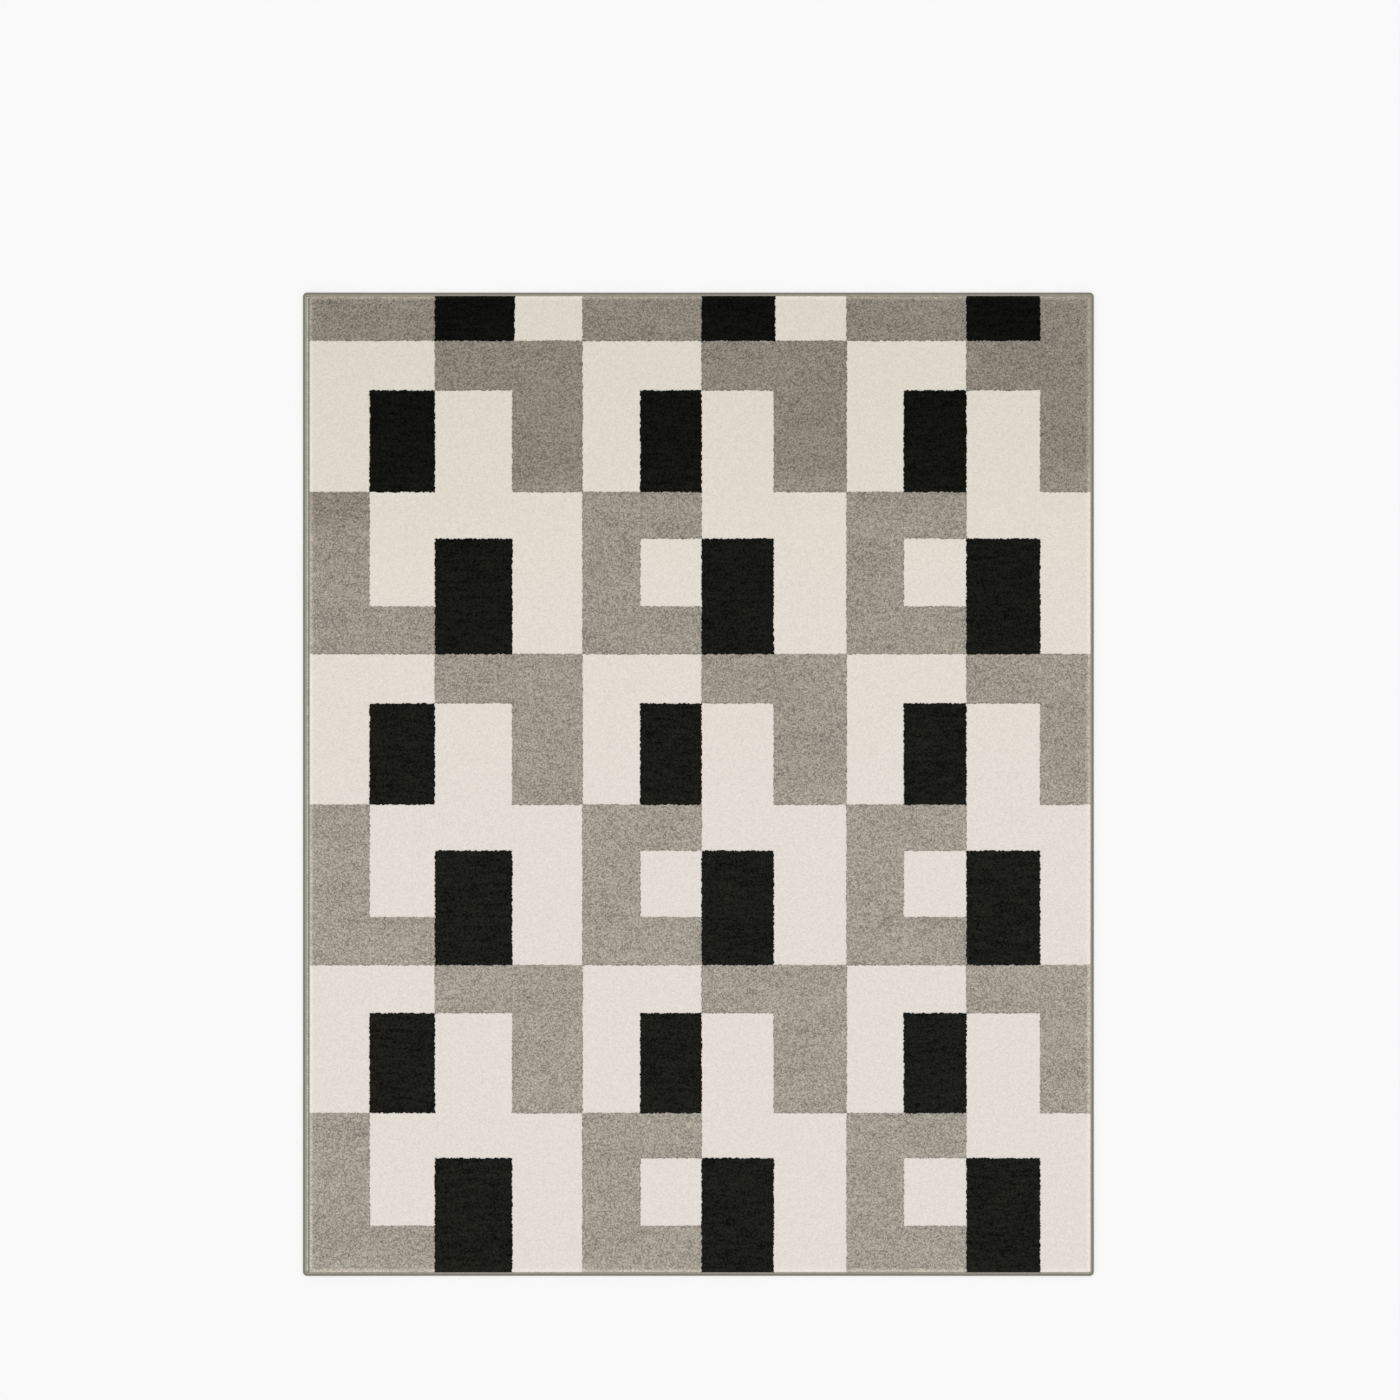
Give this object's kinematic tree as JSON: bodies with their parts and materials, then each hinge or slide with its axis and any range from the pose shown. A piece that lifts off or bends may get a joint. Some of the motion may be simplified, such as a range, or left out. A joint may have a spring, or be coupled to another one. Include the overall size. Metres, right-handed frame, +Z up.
{
  "type": "area rug",
  "caption": "Rectangular cut-pile area rug that lies flat on a floor, with a cream, grey and black block pattern and a serged edge.",
  "frame": {"origin": "on the floor under the middle of the rug, the centre of its bounding box's bottom face", "axes": "+Z up out of the pile, +Y along the rug's length towards the edge with the extra row of the pattern, +X across it"},
  "size_m": [2.413, 3, 0.012],
  "materials": {
    "cream_pile": "matte",
    "grey_pile": "matte",
    "black_pile": "matte",
    "serging_yarn": "matte",
    "selvedge_cloth": "matte",
    "stitch_thread": "matte",
    "ground_weave": "matte",
    "latex_coat": "matte"
  },
  "bodies": {
    "root": {"black_pile_row10_col11": "black_pile", "black_pile_row10_col3": "black_pile", "black_pile_row10_col7": "black_pile", "black_pile_row13_col10": "black_pile", "black_pile_row13_col2": "black_pile", "black_pile_row13_col6": "black_pile", "black_pile_row15_col11": "black_pile", "black_pile_row15_col3": "black_pile", "black_pile_row15_col7": "black_pile", "black_pile_row1_col11": "black_pile", "black_pile_row1_col3": "black_pile", "black_pile_row1_col7": "black_pile", "black_pile_row3_col10": "black_pile", "black_pile_row3_col2": "black_pile", "black_pile_row3_col6": "black_pile", "black_pile_row5_col11": "black_pile", "black_pile_row5_col3": "black_pile", "black_pile_row5_col7": "black_pile", "black_pile_row8_col10": "black_pile", "black_pile_row8_col2": "black_pile", "black_pile_row8_col6": "black_pile", "cream_pile": "cream_pile", "grey_pile_row12_col11": "grey_pile", "grey_pile_row12_col3": "grey_pile", "grey_pile_row12_col7": "grey_pile", "grey_pile_row14_col1": "grey_pile", "grey_pile_row14_col5": "grey_pile", "grey_pile_row14_col9": "grey_pile", "grey_pile_row1_col1": "grey_pile", "grey_pile_row1_col12": "grey_pile", "grey_pile_row1_col5": "grey_pile", "grey_pile_row1_col9": "grey_pile", "grey_pile_row2_col3": "grey_pile", "grey_pile_row2_col7": "grey_pile", "grey_pile_row4_col1": "grey_pile", "grey_pile_row4_col5": "grey_pile", "grey_pile_row4_col9": "grey_pile", "grey_pile_row7_col11": "grey_pile", "grey_pile_row7_col3": "grey_pile", "grey_pile_row7_col7": "grey_pile", "grey_pile_row9_col1": "grey_pile", "grey_pile_row9_col5": "grey_pile", "grey_pile_row9_col9": "grey_pile", "ground_weave": "ground_weave", "latex_back_coat": "latex_coat", "selvedge_band": "selvedge_cloth", "selvedge_stitch_row": "stitch_thread", "serging_bottom_left_corner": "serging_yarn", "serging_bottom_right_corner": "serging_yarn", "serging_bottom_side": "serging_yarn", "serging_left_side": "serging_yarn", "serging_right_side": "serging_yarn", "serging_top_left_corner": "serging_yarn", "serging_top_right_corner": "serging_yarn", "serging_top_side": "serging_yarn"}
  },
  "joints": []
}
